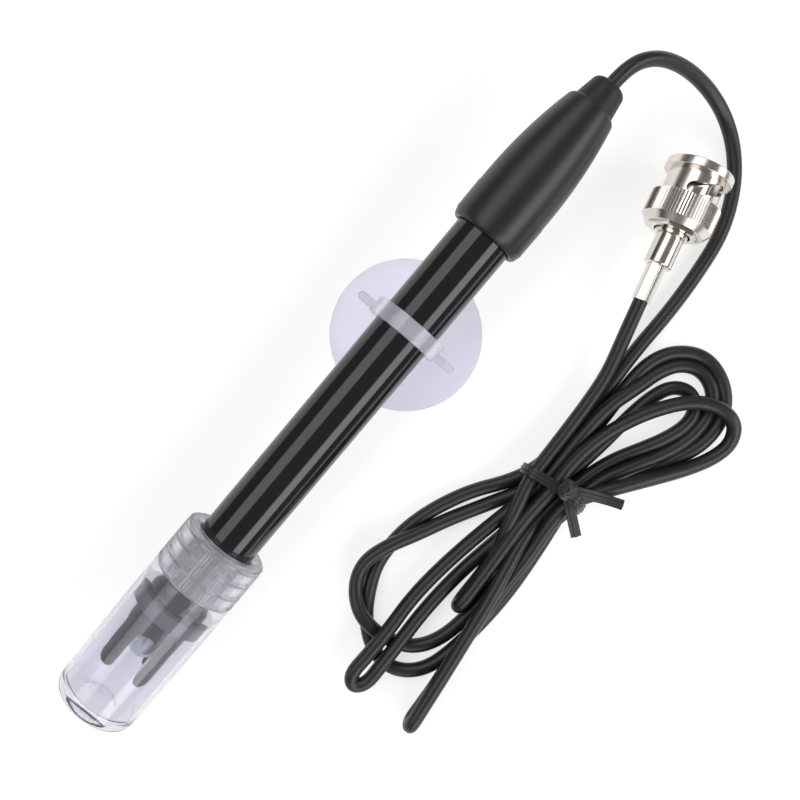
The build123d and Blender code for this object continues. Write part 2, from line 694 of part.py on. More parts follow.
TO_HANK = [
    tuple(BOOT_MOUTH.position),
    tuple(BOOT_OUT.position),
    (89.4, -2.2, 17.2),
    (94.0, -7.2, 13.3),
    (95.9, -13.3, 8.8),
    (95.4, -20.3, 4.7),
    (92.0, -27.2, 2.3),
    (85.4, -33.2, LEAD_R),
    (74.4, -37.6, LEAD_R),
    (60.0, -38.7, LEAD_R),
    (46.5, -38.7, LEAD_R),
]
TO_PLUG = [
    (30.0, -38.4, LEAD_R + 0.3),
    (37.5, -38.4, LEAD_R + 0.3),
    tuple(PLUG_OUT.position),
    tuple(PLUG_MOUTH.position),
]
HANK_STEP = [(46.5, -37.0), (37.5, -40.3), (30.0, -40.3), (30.0, -36.6)]
HANK_LEFT_LOBE = [
    (14.0, -36.8),
    (3.3, -30.0),
    (-10.6, -24.9),
    (-22.8, -22.7),
    (-32.6, -26.6),
    (-42.5, -37.6),
    (-40.0, -45.0),
    (-41.0, -53.0),
    (-25.0, -52.6),
    (-4.0, -51.5),
    (14.0, -49.4),
]
HANK_RIGHT_LOBE = [
    (14.0, -49.4),
    (24.5, -56.0),
    (34.5, -65.0),
    (43.5, -67.9),
    (52.0, -63.8),
    (56.2, -55.0),
    (54.0, -46.0),
    (46.5, -40.6),
]


def bend_radii(route):
    """The radius at each corner: 0.45 of the shorter run, divided by the tangent of half the turn."""
    radii = []
    for before, here, after in zip(route, route[1:], route[2:]):
        run_in = Vector(here) - Vector(before)
        run_out = Vector(after) - Vector(here)
        half_turn = radians(run_in.get_angle(run_out)) / 2
        radii.append(0.45 * min(run_in.length, run_out.length) / tan(half_turn))
    return radii


def make_lead_tube(name, route):
    """A round tube along straight runs joined by tangent arcs."""
    radii = bend_radii(route)
    print(name, "bend radii", [round(r, 1) for r in radii])
    path = FilletPolyline(*route, radius=radii)
    start = Plane(origin=path @ 0, z_dir=path % 0)
    lead = sweep(start * Circle(LEAD_R), path=path)
    section = pi * LEAD_R ** 2
    print(name, "length", round(path.length, 1), "volume by section", round(section * path.length, 1),
          "volume", round(lead.volume, 1))
    return lead


def make_hank():
    """The outer shape of the tied turns, with a groove under the waist for the tie."""
    with BuildSketch() as sketch:
        with BuildLine():
            Polyline(HANK_RIGHT_LOBE[-1], *HANK_STEP, HANK_LEFT_LOBE[0])
            Spline(*HANK_LEFT_LOBE)
            Spline(*HANK_RIGHT_LOBE)
        make_face()
    hank = extrude(sketch.sketch, amount=HANK_HEIGHT)
    middle = (HANK_LEFT_LOBE[0][1] + HANK_LEFT_LOBE[-1][1]) / 2
    width = HANK_LEFT_LOBE[0][1] - HANK_LEFT_LOBE[-1][1] + 6 * TIE_SLACK
    groove = Pos(TIE_X, middle, 0) * Box(TIE_WIDTH + 2 * TIE_GAP, width, 2 * (TIE_THICK + TIE_GAP))
    return hank - groove


def make_twist_tie():
    """A flat strip round the waist, a knot on top and two tails."""
    width = HANK_LEFT_LOBE[0][1] - HANK_LEFT_LOBE[-1][1] + 2 * TIE_SLACK
    height = HANK_HEIGHT + TIE_GAP - TIE_THICK
    middle = (HANK_LEFT_LOBE[0][1] + HANK_LEFT_LOBE[-1][1]) / 2
    top = HANK_HEIGHT + TIE_GAP + TIE_THICK
    hoop = RectangleRounded(width + 2 * TIE_THICK, height + 2 * TIE_THICK, 1.0 + TIE_THICK)
    hoop -= RectangleRounded(width, height, 1.0)
    tie = extrude(Plane.YZ * hoop, amount=TIE_WIDTH / 2, both=True)
    tie = Pos(TIE_X, middle, TIE_THICK + height / 2) * tie
    tie += Pos(TIE_X, middle, top + KNOT_HEIGHT / 2 - 0.1) * Box(KNOT_SIZE, KNOT_SIZE, KNOT_HEIGHT)
    for turn, length in ((-66, TIE_TAIL_LONG), (-125, TIE_TAIL_SHORT)):
        strip = Pos(length / 2, 0, 0) * Box(length, TIE_WIDTH, TIE_THICK)
        tie += Pos(TIE_X, middle, top + TIE_THICK / 2 + 0.1) * Rot(0, 0, turn) * strip
    return tie


def in_place(location, makers):
    return {name: location * maker() for name, maker in makers.items()}


def main():
    os.makedirs("parts", exist_ok=True)
    nodes = in_place(ELECTRODE, {
        "shaft_tube": make_shaft_tube,
        "tip_guard": make_tip_guard,
        "glass_membrane": make_glass_membrane,
        "tip_plug": make_tip_plug,
        "porous_junction": lambda: junction_bar(JUNCTION_D / 2),
        "inner_wire": make_inner_wire,
        "reference_wire": make_reference_wire,
        "stem_holder": make_stem_holder,
        "shaft_top_plug": make_top_plug,
        "handle_collar": make_handle_collar,
        "handle_shell": make_handle_shell,
        "cable_boot": make_cable_boot,
        "lead_inner_end": make_lead_inner_end,
        "bottle_body": make_bottle_body,
        "bottle_seal": make_bottle_seal,
        "bottle_cap": make_bottle_cap,
        "cap_o_ring": make_cap_o_ring,
    })
    nodes.update(in_place(Pos(CLIP_X, 0, 0), {
        "clip_ring": make_clip_ring,
        "suction_cup": make_suction_cup,
    }))
    nodes.update(in_place(PLUG, {
        "crimp_ferrule": make_crimp_ferrule,
        "plug_lead_end": make_plug_lead_end,
        "plug_body": make_plug_body,
        "rear_nut": make_rear_nut,
        "plug_insulator": make_plug_insulator,
        "centre_pin": make_centre_pin,
        "spring_washer": make_spring_washer,
        "plug_gasket": make_plug_gasket,
        "coupling_shell": make_coupling_shell,
    }))
    nodes["lead_to_hank"] = make_lead_tube("lead_to_hank", TO_HANK)
    nodes["lead_hank"] = make_hank()
    nodes["lead_to_plug"] = make_lead_tube("lead_to_plug", TO_PLUG)
    nodes["twist_tie"] = make_twist_tie()
    print("lean", round(degrees(LEAN), 3), "base", round(BASE_X, 3), round(BASE_Z, 3), "boot tip", BOOT_TIP)
    for name, shape in nodes.items():
        export_step(shape, f"parts/{name}.step")


main()
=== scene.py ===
"""Looks of a combination pH electrode with its storage bottle, cup clip and tied lead."""

import logging
import math
from abc import ABC, abstractmethod
from collections.abc import Iterable, Mapping, Sequence
from dataclasses import dataclass, field
from enum import Enum
from typing import NamedTuple

import bmesh
import bpy
from mathutils import Matrix, Vector


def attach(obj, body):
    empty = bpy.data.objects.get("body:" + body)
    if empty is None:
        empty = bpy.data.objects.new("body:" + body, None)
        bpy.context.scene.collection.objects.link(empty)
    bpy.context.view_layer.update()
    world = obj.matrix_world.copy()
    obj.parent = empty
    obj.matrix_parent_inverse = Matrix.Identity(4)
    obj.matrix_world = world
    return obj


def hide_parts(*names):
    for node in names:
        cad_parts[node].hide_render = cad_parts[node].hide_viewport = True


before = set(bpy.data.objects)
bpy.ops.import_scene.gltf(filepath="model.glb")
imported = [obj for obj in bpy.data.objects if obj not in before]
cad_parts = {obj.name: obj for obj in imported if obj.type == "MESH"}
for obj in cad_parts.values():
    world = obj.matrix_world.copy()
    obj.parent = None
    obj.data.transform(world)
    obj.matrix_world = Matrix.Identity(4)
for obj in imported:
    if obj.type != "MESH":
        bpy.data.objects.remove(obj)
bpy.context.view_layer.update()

LOG = logging.getLogger("electrode")
MM = 0.001
MERGE_DISTANCE = 1e-7
WELD_DISTANCE = 1e-6
LEAN = math.radians(3.659)
PLUG_TURN = math.radians(15.4)

Point3 = tuple[float, float, float]
Colour = tuple[float, float, float]


class Place(Enum):
    """Where a turned piece's own X axis goes in the shared frame.

    Each value holds the start in millimetres, the turn in radians and the axis of that turn.
    """

    ELECTRODE = ((-78.204, 0.0, 8.684), -LEAN, "Y")
    PLUG = ((54.3, -32.0, 7.25), PLUG_TURN, "Z")

    def matrix(self) -> Matrix:
        """Works out the place.

        Returns:
            The matrix from a piece's own axes to the shared frame.
        """
        start, turn, axis = self.value
        return Matrix.Translation(Vector(start) * MM) @ Matrix.Rotation(turn, 4, axis)


# Node graphs and shared effects


class Graph:
    """Adds nodes to one tree and joins them."""

    def __init__(self, tree: bpy.types.NodeTree, material: bpy.types.Material | None = None) -> None:
        """Keeps what the nodes go into.

        Args:
            tree: The node tree.
            material: The material that holds the tree, where one does.
        """
        self.tree = tree
        self.material = material

    def add(
        self, kind: str, inputs: Mapping[str | int, object] | None = None, **fields: object
    ) -> bpy.types.Node:
        """Adds one node.

        Args:
            kind: The node's type.
            inputs: Values or output sockets for its inputs, by name or number.
            fields: Settings of the node itself.

        Returns:
            The new node.
        """
        node = self.tree.nodes.new(kind)
        for key, value in fields.items():
            setattr(node, key, value)
        for key, value in (inputs or {}).items():
            if isinstance(value, bpy.types.NodeSocket):
                self.tree.links.new(value, node.inputs[key])
            else:
                node.inputs[key].default_value = value
        return node

    def math(self, operation: str, *values: object) -> bpy.types.NodeSocket:
        """Adds a Math node.

        Args:
            operation: What it does.
            values: Numbers or output sockets for its inputs, in order.

        Returns:
            The node's output.
        """
        return self.add("ShaderNodeMath", dict(enumerate(values)), operation=operation).outputs[0]

    def blend(self, factor: object, first: object, second: object) -> bpy.types.NodeSocket:
        """Adds a colour Mix node.

        Args:
            factor: How much of the second colour shows.
            first: The colour at factor 0.
            second: The colour at factor 1.

        Returns:
            The node's colour output.
        """
        node = self.add("ShaderNodeMix", {0: factor, 6: first, 7: second}, data_type="RGBA")
        return node.outputs[2]


def rgba(colour: Iterable[float]) -> tuple[float, ...]:
    """Adds a full alpha to a colour.

    Args:
        colour: Red, green and blue.

    Returns:
        The colour with an alpha of 1.
    """
    return (*colour, 1.0)


def new_group(
    name: str, inputs: Mapping[str, float], outputs: Iterable[str]
) -> tuple[Graph, bpy.types.Node, bpy.types.Node]:
    """Makes an empty node group with a Vector input, number inputs and number outputs.

    Args:
        name: The group's name.
        inputs: Its number inputs and their defaults.
        outputs: Its number outputs.

    Returns:
        The graph to build in, the group's input node and its output node.
    """
    tree = bpy.data.node_groups.new(name, "ShaderNodeTree")
    tree.interface.new_socket("Vector", in_out="INPUT", socket_type="NodeSocketVector")
    for key, value in inputs.items():
        tree.interface.new_socket(key, in_out="INPUT", socket_type="NodeSocketFloat").default_value = value
    for key in outputs:
        tree.interface.new_socket(key, in_out="OUTPUT", socket_type="NodeSocketFloat")
    graph = Graph(tree)
    return graph, graph.add("NodeGroupInput"), graph.add("NodeGroupOutput")


@dataclass
class Effects:
    """The shader effects that several finishes share, each built once as a node group."""

    cell_scale: float = 0.7
    cell_weight: float = 0.4
    patch_scale: float = 0.05
    rub_draw: float = 0.06
    smear_scale: float = 0.09

    def __post_init__(self) -> None:
        """Builds the groups."""
        self.grain = self.build_grain()
        self.rubs = self.build_rubs()

    def build_grain(self) -> bpy.types.NodeTree:
        """Builds the fine moulded grain with its broad patches.

        Returns:
            A group that puts out Height and Patches.
        """
        graph, start, end = new_group("moulded_grain", {"Scale": 4000.0}, ("Height", "Patches"))
        vector, scale = start.outputs["Vector"], start.outputs["Scale"]
        fine = graph.add("ShaderNodeTexNoise", {
            "Vector": vector, "Scale": scale, "Detail": 3.0, "Roughness": 0.6})
        cells = graph.add("ShaderNodeTexVoronoi", {
            "Vector": vector, "Scale": graph.math("MULTIPLY", scale, self.cell_scale)})
        pits = graph.math("MULTIPLY", cells.outputs["Distance"], self.cell_weight)
        broad = graph.add("ShaderNodeTexNoise", {
            "Vector": vector, "Scale": graph.math("MULTIPLY", scale, self.patch_scale), "Detail": 4.0,
            "Distortion": 0.4})
        graph.tree.links.new(graph.math("ADD", fine.outputs["Fac"], pits), end.inputs["Height"])
        graph.tree.links.new(broad.outputs["Fac"], end.inputs["Patches"])
        return graph.tree

    def build_rubs(self) -> bpy.types.NodeTree:
        """Builds faint rub marks that run along the pattern's own X axis.

        Returns:
            A group that puts out Marks and Smears.
        """
        graph, start, end = new_group("rub_marks", {"Scale": 900.0}, ("Marks", "Smears"))
        vector, scale = start.outputs["Vector"], start.outputs["Scale"]
        drawn = graph.add("ShaderNodeVectorMath", {
            0: vector, 1: (self.rub_draw, 1.0, 1.0)}, operation="MULTIPLY")
        lines = graph.add("ShaderNodeTexNoise", {
            "Vector": drawn.outputs[0], "Scale": scale, "Detail": 5.0, "Roughness": 0.7})
        marks = graph.add("ShaderNodeMapRange", {
            "Value": lines.outputs["Fac"], "From Min": 0.52, "From Max": 0.8, "To Min": 0.0, "To Max": 1.0})
        smears = graph.add("ShaderNodeTexNoise", {
            "Vector": vector, "Scale": graph.math("MULTIPLY", scale, self.smear_scale), "Detail": 3.0,
            "Distortion": 0.8})
        graph.tree.links.new(marks.outputs["Result"], end.inputs["Marks"])
        graph.tree.links.new(smears.outputs["Fac"], end.inputs["Smears"])
        return graph.tree

    def lay_grain(self, graph: Graph, vector: bpy.types.NodeSocket, scale: float) -> bpy.types.Node:
        """Places the grain in a material.

        Args:
            graph: The material's graph.
            vector: The coordinates.
            scale: How fine the grain is.

        Returns:
            The group's node.
        """
        return graph.add("ShaderNodeGroup", {"Vector": vector, "Scale": scale}, node_tree=self.grain)

    def lay_rubs(
        self, graph: Graph, vector: bpy.types.NodeSocket, scale: float, turn: float = 0.0
    ) -> bpy.types.Node:
        """Places the rub marks in a material.

        Args:
            graph: The material's graph.
            vector: The coordinates.
            scale: How fine the marks are.
            turn: The marks' direction in radians, about the vertical.

        Returns:
            The group's node.
        """
        mapping = graph.add("ShaderNodeMapping", {"Vector": vector, "Rotation": (0.0, 0.0, -turn)})
        inputs = {"Vector": mapping.outputs[0], "Scale": scale}
        return graph.add("ShaderNodeGroup", inputs, node_tree=self.rubs)


# Finishes


@dataclass(frozen=True)
class Finish(ABC):
    """What every finish has: a name, a colour and a roughness."""

    name: str
    colour: Colour
    roughness: float

    @abstractmethod
    def build(self, effects: Effects) -> bpy.types.Material:
        """Builds the material.

        Args:
            effects: The shared effects.

        Returns:
            The finished material.
        """

    def start(self) -> tuple[Graph, bpy.types.Node, bpy.types.NodeSocket]:
        """Makes the material with one Principled shader.

        Returns:
            The graph, the shader and the Object coordinates.
        """
        material = bpy.data.materials.new(self.name)
        material.use_nodes = True
        material.node_tree.nodes.clear()
        graph = Graph(material.node_tree, material)
        shader = graph.add("ShaderNodeBsdfPrincipled", {
            "Base Color": rgba(self.colour), "Roughness": self.roughness})
        output = graph.add("ShaderNodeOutputMaterial", {"Surface": shader.outputs[0]})
        output.is_active_output = True
        return graph, shader, graph.add("ShaderNodeTexCoord").outputs["Object"]

    @staticmethod
    def vary(
        graph: Graph,
        shader: bpy.types.Node,
        tone: bpy.types.NodeSocket,
        spread: bpy.types.NodeSocket,
        bump: bpy.types.Node,
    ) -> None:
        """Joins what varies over the surface to the shader.

        Args:
            graph: The material's graph.
            shader: The Principled shader.
            tone: The varying colour.
            spread: The varying roughness.
            bump: The Bump node.
        """
        graph.tree.links.new(tone, shader.inputs["Base Color"])
        graph.tree.links.new(spread, shader.inputs["Roughness"])
        graph.tree.links.new(bump.outputs[0], shader.inputs["Normal"])


@dataclass(frozen=True)
class Moulded(Finish):
    """A moulded plastic or rubber with grain, broad tone patches and faint rubs."""

    grain_scale: float = 4000.0
    grain_depth: float = 1e-5
    patch_gain: float = 0.25
    patch_lift: float = 0.004
    rub_scale: float = 700.0
    rub_gain: float = 0.08
    worn_lift: float = 0.03
    specular: float = 0.5

    def build(self, effects: Effects) -> bpy.types.Material:
        """Builds the material.

        Args:
            effects: The shared effects.

        Returns:
            The finished material.
        """
        graph, shader, vector = self.start()
        grain = effects.lay_grain(graph, vector, self.grain_scale)
        rubs = effects.lay_rubs(graph, vector, self.rub_scale)
        gain, lift = self.patch_gain, self.patch_lift * self.patch_gain
        lighter = tuple(min(1.0, channel * (1.0 + gain) + lift) for channel in self.colour)
        darker = tuple(channel * (1.0 - gain) for channel in self.colour)
        worn = tuple(channel + self.worn_lift for channel in self.colour)
        patches = graph.blend(grain.outputs["Patches"], rgba(darker), rgba(lighter))
        wear = graph.math("MULTIPLY", rubs.outputs["Marks"], self.rub_gain)
        least = self.roughness - self.rub_gain / 2
        spread = graph.math("MULTIPLY_ADD", rubs.outputs["Smears"], self.rub_gain, least)
        bump = graph.add("ShaderNodeBump", {
            "Height": grain.outputs["Height"], "Distance": self.grain_depth, "Strength": 1.0})
        self.vary(graph, shader, graph.blend(wear, patches, rgba(worn)), spread, bump)
        shader.inputs["Specular IOR Level"].default_value = self.specular
        return graph.material


@dataclass(frozen=True)
class Metal(Finish):
    """Turned and plated metal with fine tool lines and soft smears."""

    turn: float = PLUG_TURN
    line_scale: float = 1500.0
    line_depth: float = 4e-6
    tone_scale: float = 2600.0
    warmth: Colour = (1.0, 0.965, 0.92)
    smear_gain: float = 0.14

    def build(self, effects: Effects) -> bpy.types.Material:
        """Builds the material.

        Args:
            effects: The shared effects.

        Returns:
            The finished material.
        """
        graph, shader, vector = self.start()
        rubs = effects.lay_rubs(graph, vector, self.line_scale, self.turn)
        grain = effects.lay_grain(graph, vector, self.tone_scale)
        warmer = tuple(channel * share for channel, share in zip(self.colour, self.warmth))
        tone = graph.blend(grain.outputs["Patches"], rgba(self.colour), rgba(warmer))
        least = self.roughness - self.smear_gain / 2
        spread = graph.math("MULTIPLY_ADD", rubs.outputs["Smears"], self.smear_gain, least)
        bump = graph.add("ShaderNodeBump", {"Height": rubs.outputs["Marks"], "Distance": self.line_depth})
        self.vary(graph, shader, tone, spread, bump)
        shader.inputs["Metallic"].default_value = 1.0
        return graph.material


@dataclass(frozen=True)
class Clear(Finish):
    """A clear plastic, vinyl or glass, whose shadow lets most of the light through."""

    ior: float = 1.49
    pass_light: float = 0.9
    flow_depth: float = 8e-6
    haze: float = 0.0
    rub_scale: float = 420.0
    rub_gain: float = 0.06
    tone_scale: float = 1400.0
    deepening: float = 0.97

    def build(self, effects: Effects) -> bpy.types.Material:
        """Builds the material.

        Args:
            effects: The shared effects.

        Returns:
            The finished material.
        """
        graph, shader, vector = self.start()
        rubs = effects.lay_rubs(graph, vector, self.rub_scale)
        grain = effects.lay_grain(graph, vector, self.tone_scale)
        deeper = tuple(channel * self.deepening for channel in self.colour)
        tone = graph.blend(grain.outputs["Patches"], rgba(deeper), rgba(self.colour))
        spread = graph.math("MULTIPLY_ADD", rubs.outputs["Marks"], self.rub_gain, self.roughness)
        bump = graph.add("ShaderNodeBump", {"Height": rubs.outputs["Smears"], "Distance": self.flow_depth})
        self.vary(graph, shader, tone, spread, bump)
        shader.inputs["Transmission Weight"].default_value = 1.0 - self.haze
        shader.inputs["IOR"].default_value = self.ior
        through = graph.add("ShaderNodeBsdfTransparent", {"Color": rgba(self.colour)})
        path = graph.add("ShaderNodeLightPath")
        share = graph.math("MULTIPLY", path.outputs["Is Shadow Ray"], self.pass_light)
        mixed = graph.add("ShaderNodeMixShader", {0: share, 1: shader.outputs[0], 2: through.outputs[0]})
        graph.tree.links.new(mixed.outputs[0], graph.tree.get_output_node("ALL").inputs["Surface"])
        return graph.material


@dataclass
class Finishes:
    """Every finish of the object, built once."""

    made: dict[str, bpy.types.Material] = field(default_factory=dict)
    table: tuple[Finish, ...] = (
        Moulded("glossy_black_tube", (0.010, 0.010, 0.012), 0.10, grain_scale=900.0, grain_depth=6e-7,
                patch_gain=0.2, rub_gain=0.04, specular=0.55),
        Moulded("satin_black_handle", (0.013, 0.013, 0.016), 0.36, grain_scale=5200.0, grain_depth=6e-6,
                patch_gain=0.2, rub_gain=0.1),
        Moulded("boot_rubber", (0.010, 0.0105, 0.012), 0.48, grain_scale=4600.0, grain_depth=8e-6,
                rub_gain=0.1, specular=0.45),
        Moulded("lead_sheath", (0.012, 0.012, 0.014), 0.40, grain_scale=3800.0, grain_depth=1.4e-5,
                patch_gain=0.3, rub_gain=0.14),
        Moulded("tie_plastic", (0.016, 0.016, 0.018), 0.38, grain_scale=3000.0,
                patch_gain=0.3, rub_gain=0.1),
        Moulded("seal_rubber", (0.10, 0.10, 0.11), 0.55, grain_scale=2600.0,
                patch_gain=0.2, specular=0.4),
        Moulded("black_rubber", (0.015, 0.015, 0.016), 0.5, grain_scale=3000.0,
                patch_gain=0.2, specular=0.4),
        Moulded("potting", (0.12, 0.12, 0.13), 0.5, grain_scale=1800.0, grain_depth=2e-5, patch_gain=0.3,
                rub_gain=0.05, specular=0.4),
        Moulded("ceramic", (0.78, 0.76, 0.70), 0.7, grain_scale=6000.0, grain_depth=2e-5, patch_gain=0.1,
                rub_gain=0.02, specular=0.3),
        Moulded("white_insulator", (0.80, 0.80, 0.78), 0.45, grain_scale=2400.0, grain_depth=5e-6,
                patch_gain=0.06, rub_gain=0.05, specular=0.4),
        Moulded("gasket_rubber", (0.30, 0.05, 0.03), 0.55, grain_scale=2800.0, patch_gain=0.2,
                rub_gain=0.06, specular=0.4),
        Metal("nickel_coupling", (0.74, 0.70, 0.665), 0.24),
        Metal("nickel_body", (0.72, 0.69, 0.65), 0.18),
        Metal("nickel_ferrule", (0.74, 0.71, 0.68), 0.20),
        Metal("gold_pin", (0.83, 0.62, 0.30), 0.16),
        Metal("spring_steel", (0.55, 0.54, 0.52), 0.25),
        Metal("silver", (0.80, 0.79, 0.77), 0.20, turn=0.0),
        Clear("clear_plastic", (0.80, 0.80, 0.855), 0.03, ior=1.42, haze=0.05),
        Clear("clear_cap", (0.73, 0.73, 0.77), 0.11, ior=1.43, pass_light=0.85,
              flow_depth=4e-6, haze=0.2),
        Clear("clear_vinyl", (0.76, 0.755, 0.84), 0.09, ior=1.38, pass_light=0.85,
              flow_depth=1e-5, haze=0.12),
        Clear("clip_plastic", (0.86, 0.87, 0.93), 0.10, ior=1.42, pass_light=0.8,
              flow_depth=1e-5, haze=0.22),
        Clear("blown_glass", (0.90, 0.92, 0.95), 0.03, ior=1.45, flow_depth=4e-6, haze=0.2),
    )

    def __post_init__(self) -> None:
        """Builds each finish under its name."""
        effects = Effects()
        for finish in self.table:
            self.made[finish.name] = finish.build(effects)
            LOG.info("finish %s", finish.name)

    def __getitem__(self, name: str) -> bpy.types.Material:
        """Looks a finish up.

        Args:
            name: The finish's name.

        Returns:
            Its material.
        """
        return self.made[name]


# Shapes


class Corner(NamedTuple):
    """A corner of a turned section, in millimetres: its place, and how far back its rounding starts."""

    station: float
    radius: float
    rounding: float = 0.0


def turned(outline: Sequence[Corner], steps: int) -> bmesh.types.BMesh:
    """Turns a section about the X axis.

    Args:
        outline: The corners in order. The section is closed unless it starts and ends on the axis.
        steps: The number of steps round.

    Returns:
        The turned mesh.
    """
    shape = bmesh.new()
    points = [shape.verts.new((corner.station * MM, 0.0, corner.radius * MM)) for corner in outline]
    for first, second in zip(points, points[1:]):
        shape.edges.new((first, second))
    if outline[0].radius > 0.0 or outline[-1].radius > 0.0:
        shape.edges.new((points[-1], points[0]))
    for point, corner in zip(points, outline):
        if corner.rounding > 0.0:
            bmesh.ops.bevel(
                shape, geom=[point], offset=corner.rounding * MM, offset_type="OFFSET", segments=6,
                profile=0.5, affect="VERTICES", material=-1)
    bmesh.ops.spin(
        shape, geom=shape.verts[:] + shape.edges[:], cent=(0.0, 0.0, 0.0), axis=(1.0, 0.0, 0.0),
        dvec=(0.0, 0.0, 0.0), angle=2.0 * math.pi, steps=steps, use_merge=True)
    bmesh.ops.remove_doubles(shape, verts=shape.verts[:], dist=MERGE_DISTANCE)
    bmesh.ops.recalc_face_normals(shape, faces=shape.faces[:])
    return shape


def lay_spline(curve: bpy.types.Curve, points: Sequence[Point3], tilt: float = 0.0) -> bpy.types.Spline:
    """Lays a smooth spline in a curve.

    Args:
        curve: The curve that gets it.
        points: Its control points, in millimetres.
        tilt: The section's roll about the line, in radians.

    Returns:
        The spline.
    """
    spline = curve.splines.new("NURBS")
    spline.points.add(len(points) - 1)
    for knot, (x, y, z) in zip(spline.points, points):
        knot.co = (x * MM, y * MM, z * MM, 1.0)
        knot.tilt = tilt
    spline.order_u = 3
    return spline


def finish_mesh(
    name: str,
    shape: bmesh.types.BMesh,
    material: bpy.types.Material,
    body: str,
    nodes: Sequence[str],
    matrix: Matrix | None = None,
    sharp: float = 32.0,
) -> bpy.types.Object:
    """Makes a piece of a bmesh and puts it on a body.

    Args:
        name: The piece's name.
        shape: Its mesh, which is freed.
        material: Its finish.
        body: The CAD body it rides on.
        nodes: The CAD nodes it replaces.
        matrix: Its place, which goes into the mesh.
        sharp: The angle in degrees past which an edge stays sharp.

    Returns:
        The new object.
    """
    if matrix is not None:
        bmesh.ops.transform(shape, matrix=matrix, verts=shape.verts[:])
    mesh = bpy.data.meshes.new(name)
    shape.to_mesh(mesh)
    shape.free()
    mesh.shade_smooth()
    mesh.set_sharp_from_angle(angle=math.radians(sharp))
    mesh.materials.append(material)
    piece = bpy.data.objects.new(name, mesh)
    bpy.context.scene.collection.objects.link(piece)
    return settle(piece, body, nodes)


def settle(piece: bpy.types.Object, body: str, nodes: Sequence[str]) -> bpy.types.Object:
    """Puts a piece on its body in place of CAD nodes and reports it.

    Args:
        piece: The piece.
        body: The CAD body it rides on.
        nodes: The CAD nodes it replaces.

    Returns:
        The same piece.
    """
    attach(piece, body)
    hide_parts(*nodes)
    LOG.info("piece %s on %s", piece.name, body)
    return piece


def dress(node: str, material: bpy.types.Material, smooth_angle: float = 30.0) -> None:
    """Gives a CAD node its finish, and smooth shading up to an angle.

    Args:
        node: The node's name.
        material: Its finish.
        smooth_angle: The angle in degrees past which an edge stays sharp.
    """
    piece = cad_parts[node]
    if not piece.material_slots:
        piece.data.materials.append(material)
    for slot in piece.material_slots:
        slot.material = material
    piece.data.shade_smooth()
    weld = piece.modifiers.new("weld", "WELD")
    weld.merge_threshold = WELD_DISTANCE
    split = piece.modifiers.new("crease", "EDGE_SPLIT")
    split.use_edge_angle = True
    split.use_edge_sharp = False
    split.split_angle = math.radians(smooth_angle)
    LOG.info("dressed %s", node)


# Sub-assemblies


@dataclass
class Electrode:
    """The shaft, its slotted guard, the glass half cell, the handle and the boot."""

    finishes: Finishes
    dressing: dict[str, str] = field(default_factory=lambda: {
        "shaft_tube": "glossy_black_tube",
        "tip_guard": "glossy_black_tube",
        "glass_membrane": "blown_glass",
        "tip_plug": "potting",
        "porous_junction": "ceramic",
        "inner_wire": "silver",
        "reference_wire": "silver",
        "stem_holder": "potting",
        "shaft_top_plug": "potting",
        "handle_collar": "satin_black_handle",
        "handle_shell": "satin_black_handle",
        "cable_boot": "boot_rubber",
        "lead_inner_end": "lead_sheath",
    })

    def build(self) -> None:
        """Dresses the nodes of the electrode."""
        for node, finish in self.dressing.items():
            dress(node, self.finishes[finish])


